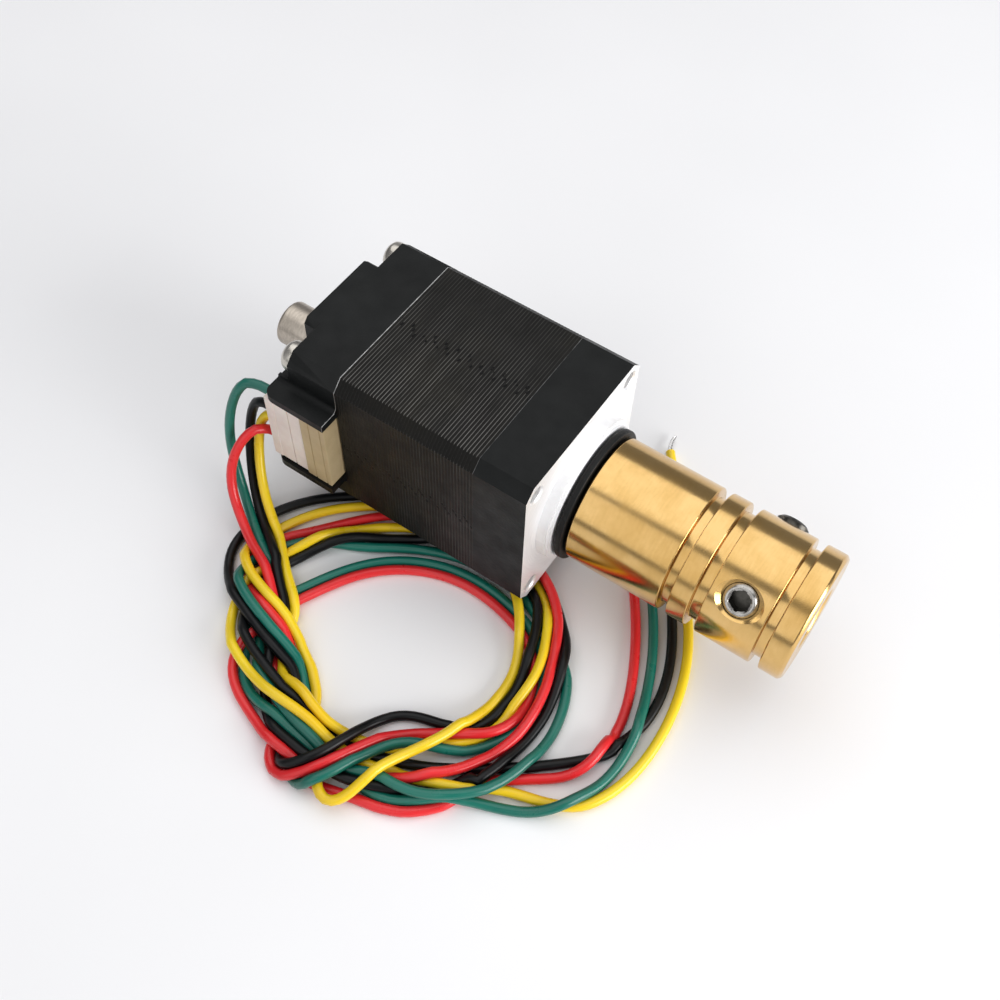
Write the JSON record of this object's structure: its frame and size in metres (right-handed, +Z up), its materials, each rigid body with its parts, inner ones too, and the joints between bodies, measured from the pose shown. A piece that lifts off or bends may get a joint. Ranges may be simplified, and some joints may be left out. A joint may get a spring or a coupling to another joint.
{
  "type": "stepper motor with shaft sleeve",
  "caption": "Square stepper motor with a brass clamping sleeve on its shaft and a plug-in set of coloured leads.",
  "frame": {"origin": "on the motor's mounting face, on its rim straight below the shaft, 12.5 mm from the shaft's axis", "axes": "+X along the shaft, out of the mounting face; +Z up, away from the surface it lies on; the connector is on the -Y side"},
  "size_m": [0.0893, 0.0753, 0.0313],
  "materials": {
    "bell_black": "satin black paint, bare machined aluminium on the front face",
    "stack_black": "satin black over stacked sheet edges",
    "steel": "ground",
    "brass": "turned",
    "copper_wire": "enamelled",
    "black_rubber": "matt",
    "plug_ivory": "moulded",
    "header_beige": "moulded",
    "rotor_iron": "machined",
    "wire_green": "smooth insulation",
    "wire_black": "smooth insulation",
    "wire_yellow": "smooth insulation",
    "wire_red": "smooth insulation"
  },
  "bodies": {
    "motor": {"front_end_bell": "bell_black", "rear_end_bell": "bell_black", "stator_stack": "stack_black", "front_insulator": "plug_ivory", "rear_insulator": "plug_ivory", "pole_winding_1": "copper_wire", "pole_winding_2": "copper_wire", "pole_winding_3": "copper_wire", "pole_winding_4": "copper_wire", "pole_winding_5": "copper_wire", "pole_winding_6": "copper_wire", "pole_winding_7": "copper_wire", "pole_winding_8": "copper_wire", "front_bearing_outer_ring": "steel", "rear_bearing_outer_ring": "steel", "wave_washer": "steel", "body_screw_1": "steel", "body_screw_2": "steel", "body_screw_3": "steel", "body_screw_4": "steel", "connector_header": "header_beige", "connector_plug": "plug_ivory", "connector_pin_1": "brass", "connector_pin_2": "brass", "connector_pin_3": "brass", "connector_pin_4": "brass", "connector_pin_5": "brass", "connector_pin_6": "brass", "green_lead_from_plug": "wire_green", "green_lead_to_end": "wire_green", "black_lead_from_plug": "wire_black", "black_lead_to_end": "wire_black", "yellow_lead_from_plug": "wire_yellow", "yellow_lead_to_end": "wire_yellow", "red_lead_from_plug": "wire_red", "red_lead_to_end": "wire_red", "lead_coil": "wire_yellow"},
    "shaft": {"rotor_shaft": "steel", "rotor_cup_front": "rotor_iron", "rotor_cup_rear": "rotor_iron", "rotor_magnet": "rotor_iron", "front_bearing_inner_ring": "steel", "rear_bearing_inner_ring": "steel", "brass_sleeve": "brass", "set_screw_1": "steel", "set_screw_2": "steel", "spacer_ring": "black_rubber"},
    "front_balls": {"front_bearing_balls": "steel"},
    "rear_balls": {"rear_bearing_balls": "steel"}
  },
  "joints": [
    {"name": "shaft_spin", "type": "hinge", "parent": "motor", "child": "shaft", "pos_m": [0, 0, 0.0125], "axis": [1, 0, 0], "continuous": true},
    {"name": "front_balls_spin", "type": "hinge", "parent": "motor", "child": "front_balls", "pos_m": [0, 0, 0.0125], "axis": [1, 0, 0], "continuous": true},
    {"name": "rear_balls_spin", "type": "hinge", "parent": "motor", "child": "rear_balls", "pos_m": [0, 0, 0.0125], "axis": [1, 0, 0], "continuous": true}
  ],
  "couplings": [
    {"joint": "front_balls_spin", "follows": "shaft_spin", "ratio": 0.4143},
    {"joint": "rear_balls_spin", "follows": "shaft_spin", "ratio": 0.4143}
  ]
}
